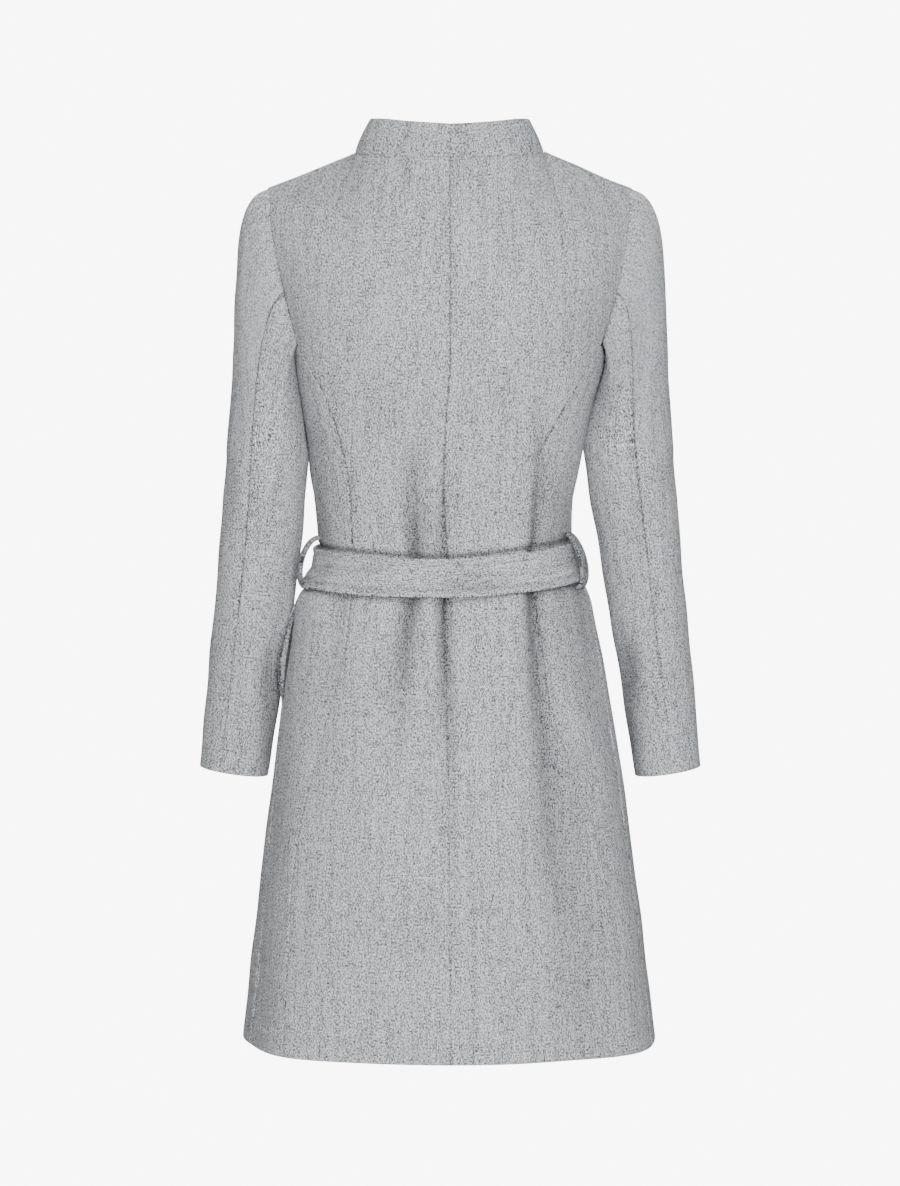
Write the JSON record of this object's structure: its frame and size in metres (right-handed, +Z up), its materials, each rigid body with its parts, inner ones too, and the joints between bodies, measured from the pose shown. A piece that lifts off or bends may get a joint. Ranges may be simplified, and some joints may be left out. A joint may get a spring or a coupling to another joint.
{
  "type": "wrap coat",
  "caption": "Hollow worn wrap coat in felted wool with a stand collar, princess seams, two-piece sleeves and a tied belt in loops",
  "frame": {"origin": "midway between the shoulders at the height of the centre back neck seam, where the wearer holds the coat", "axes": "+Z up, the front faces -Y, +X is the wearer's left"},
  "size_m": [0.5398, 0.3116, 0.9909],
  "materials": {
    "wool_back": "brushed melange wool, matte",
    "wool_side": "brushed melange wool, matte",
    "wool_front": "brushed melange wool, matte",
    "wool_collar": "brushed melange wool, matte",
    "wool_top_sleeve": "brushed melange wool, matte",
    "wool_under_sleeve": "brushed melange wool, matte",
    "wool_belt": "brushed melange wool, matte"
  },
  "bodies": {
    "root": {"back_left": "wool_back", "side_back_left": "wool_side", "front_left": "wool_front", "collar_left": "wool_collar", "under_sleeve_left": "wool_under_sleeve", "top_sleeve_left": "wool_top_sleeve", "belt_loop_left": "wool_belt", "belt_tail_left": "wool_belt", "back_right": "wool_back", "side_back_right": "wool_side", "front_right": "wool_front", "collar_right": "wool_collar", "under_sleeve_right": "wool_under_sleeve", "top_sleeve_right": "wool_top_sleeve", "belt_loop_right": "wool_belt", "belt_tail_right": "wool_belt", "belt": "wool_belt", "belt_knot": "wool_belt", "pocket_facing_left": "wool_side"}
  },
  "joints": []
}
